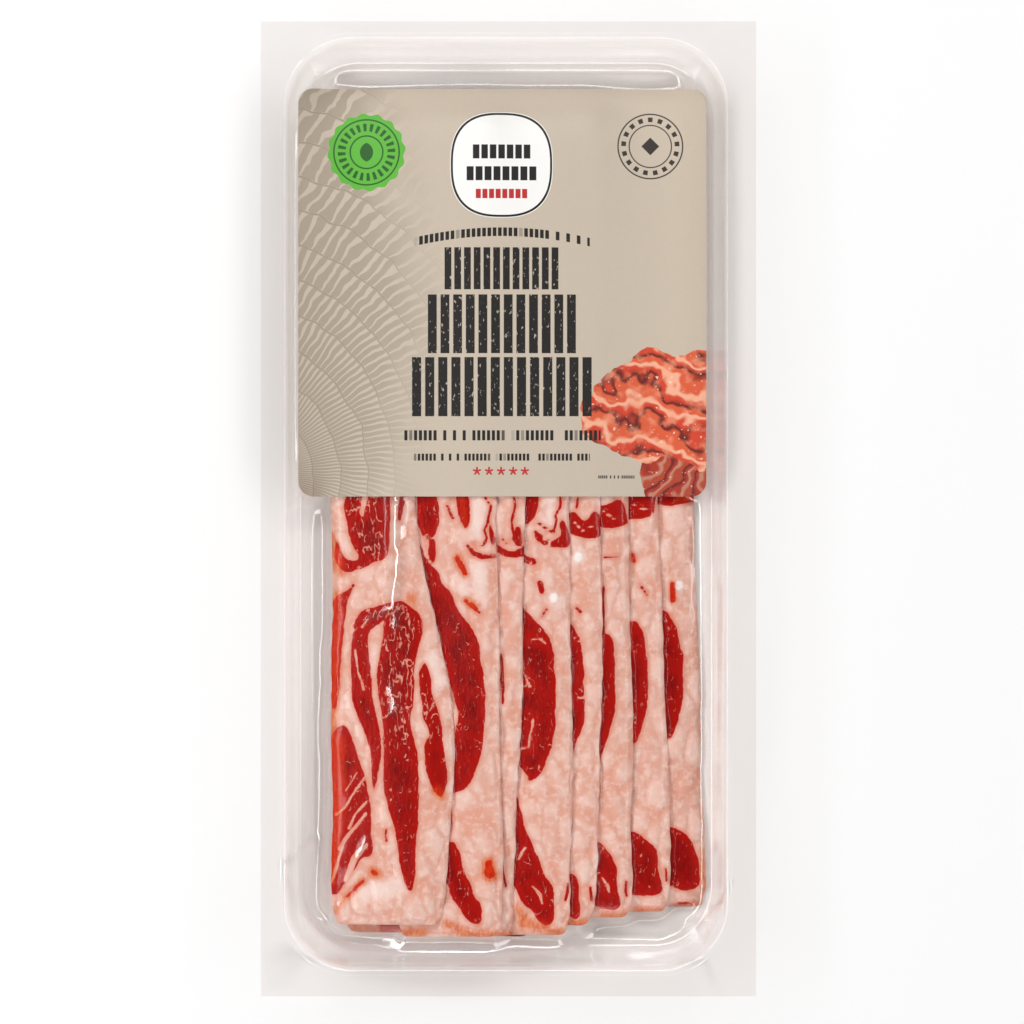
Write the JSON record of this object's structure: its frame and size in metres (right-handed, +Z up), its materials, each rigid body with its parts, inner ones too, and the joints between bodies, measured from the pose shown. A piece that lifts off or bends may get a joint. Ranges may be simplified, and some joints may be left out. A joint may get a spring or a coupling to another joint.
{
  "type": "turkey bacon pack",
  "caption": "Shallow clear thermoformed pack of shingled raw turkey bacon rashers under a drawn-down lidding film, with a square label over its upper half.",
  "frame": {"origin": "centre of the pack's outline in plan, on the plane that its flat underside rests on", "axes": "+Y along the pack's length towards the label's end, +X to the right seen from above, +Z up out of the shown side"},
  "size_m": [0.127, 0.25, 0.0173],
  "materials": {
    "clear_tray": "clear, glossy, faintly warm",
    "clear_film": "clear, glossy, clinging",
    "bacon": "moist raw meat, red lean marbled with pale pink fat",
    "label": "matt beige, printed"
  },
  "bodies": {
    "root": {"tray": "clear_tray", "rasher_1": "bacon", "rasher_2": "bacon", "rasher_3": "bacon", "rasher_4": "bacon", "rasher_5": "bacon", "rasher_6": "bacon", "rasher_7": "bacon", "rasher_8": "bacon", "rasher_9": "bacon", "rasher_10": "bacon", "film": "clear_film", "label": "label"}
  },
  "joints": []
}
